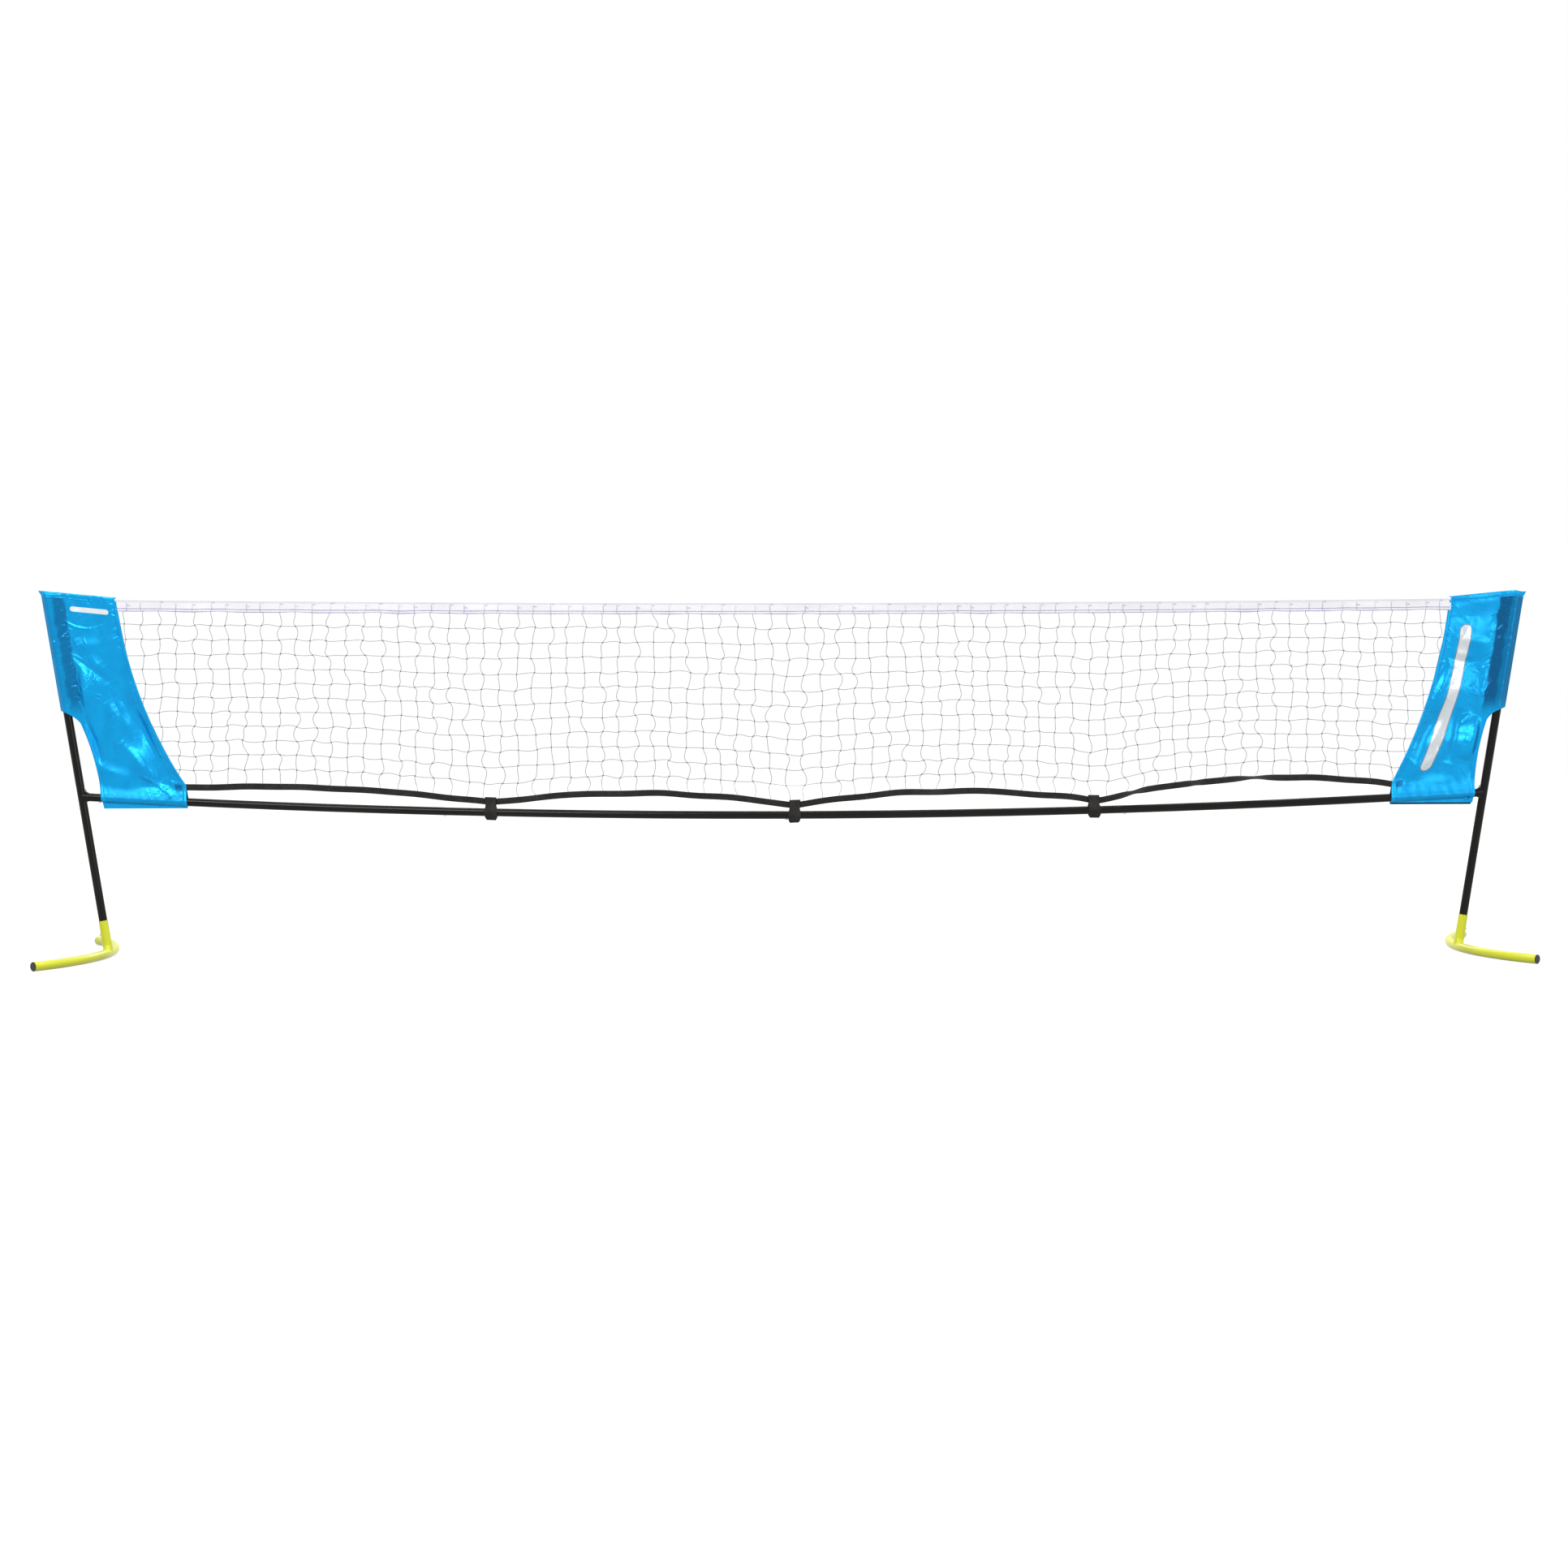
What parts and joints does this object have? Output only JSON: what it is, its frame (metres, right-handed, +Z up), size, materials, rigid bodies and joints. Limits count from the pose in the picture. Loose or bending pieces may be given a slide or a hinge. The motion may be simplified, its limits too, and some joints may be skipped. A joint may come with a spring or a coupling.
{
  "type": "portable mini tennis net",
  "caption": "Low portable tennis net: square mesh with a head tape, hung between two fabric sleeves on a take-down tube frame with a bowed bar and curved feet.",
  "frame": {"origin": "on the floor under the middle of the net", "axes": "+X along the net, +Y across it, +Z up"},
  "size_m": [3.2622, 0.5072, 0.8055],
  "materials": {
    "foot_paint": "gloss powder coat, yellow-green",
    "black_paint": "gloss powder coat, black",
    "black_plastic": "moulded, fine grain",
    "spring_steel": "blued strip",
    "button_metal": "dark zinc",
    "sleeve_fabric": "satin polyester, blue",
    "head_tape": "white woven tape",
    "head_cord": "braided cord",
    "webbing": "woven webbing, black",
    "twine": "twisted twine, grey"
  },
  "bodies": {
    "frame": {"foot_tube_right": "foot_paint", "foot_tube_left": "foot_paint", "foot_socket_right": "foot_paint", "foot_socket_left": "foot_paint", "foot_plugs_right": "black_plastic", "foot_plugs_left": "black_plastic", "post_right": "black_paint", "post_left": "black_paint", "post_cap_right": "black_plastic", "post_cap_left": "black_plastic", "t_socket_right": "black_paint", "t_socket_left": "black_paint", "bar_tube_1": "black_paint", "bar_tube_2": "black_paint", "bar_tube_3": "black_paint", "bar_tube_4": "black_paint", "snap_spring_bar_left_end": "spring_steel", "snap_spring_bar_joint_1": "spring_steel", "snap_spring_bar_joint_2": "spring_steel", "snap_spring_bar_joint_3": "spring_steel", "snap_spring_bar_right_end": "spring_steel", "snap_spring_foot_right": "spring_steel", "snap_spring_foot_left": "spring_steel", "sleeve_right": "sleeve_fabric", "sleeve_left": "sleeve_fabric", "hook_strip_right": "webbing", "hook_strip_left": "webbing", "head_tape": "head_tape", "head_cord": "head_cord", "foot_tape": "webbing", "net": "twine", "strap_left": "webbing", "strap_middle": "webbing", "strap_right": "webbing"},
    "button_bar_left_end": {"snap_button_bar_left_end": "button_metal"},
    "button_bar_joint_1": {"snap_button_bar_joint_1": "button_metal"},
    "button_bar_joint_2": {"snap_button_bar_joint_2": "button_metal"},
    "button_bar_joint_3": {"snap_button_bar_joint_3": "button_metal"},
    "button_bar_right_end": {"snap_button_bar_right_end": "button_metal"},
    "button_foot_right": {"snap_button_foot_right": "button_metal"},
    "button_foot_left": {"snap_button_foot_left": "button_metal"}
  },
  "joints": [
    {"name": "press_bar_left_end", "type": "slide", "parent": "frame", "child": "button_bar_left_end", "axis": [0.0565, 0, 0.9984], "range_m": [0, 0.004], "stiffness_N_per_m": 600, "springref_m": -0.002, "deforming": ["snap_spring_bar_left_end"]},
    {"name": "press_bar_joint_1", "type": "slide", "parent": "frame", "child": "button_bar_joint_1", "axis": [0.0283, 0, 0.9996], "range_m": [0, 0.004], "stiffness_N_per_m": 600, "springref_m": -0.002, "deforming": ["snap_spring_bar_joint_1"]},
    {"name": "press_bar_joint_2", "type": "slide", "parent": "frame", "child": "button_bar_joint_2", "axis": [0.0001, 0, 1], "range_m": [0, 0.004], "stiffness_N_per_m": 600, "springref_m": -0.002, "deforming": ["snap_spring_bar_joint_2"]},
    {"name": "press_bar_joint_3", "type": "slide", "parent": "frame", "child": "button_bar_joint_3", "axis": [-0.028, 0, 0.9996], "range_m": [0, 0.004], "stiffness_N_per_m": 600, "springref_m": -0.002, "deforming": ["snap_spring_bar_joint_3"]},
    {"name": "press_bar_right_end", "type": "slide", "parent": "frame", "child": "button_bar_right_end", "axis": [-0.0565, 0, 0.9984], "range_m": [0, 0.004], "stiffness_N_per_m": 600, "springref_m": -0.002, "deforming": ["snap_spring_bar_right_end"]},
    {"name": "press_foot_right", "type": "slide", "parent": "frame", "child": "button_foot_right", "axis": [-0.9882, 0, 0.153], "range_m": [0, 0.004], "stiffness_N_per_m": 600, "springref_m": -0.002, "deforming": ["snap_spring_foot_right"]},
    {"name": "press_foot_left", "type": "slide", "parent": "frame", "child": "button_foot_left", "axis": [0.9882, 0, 0.153], "range_m": [0, 0.004], "stiffness_N_per_m": 600, "springref_m": -0.002, "deforming": ["snap_spring_foot_left"]}
  ]
}
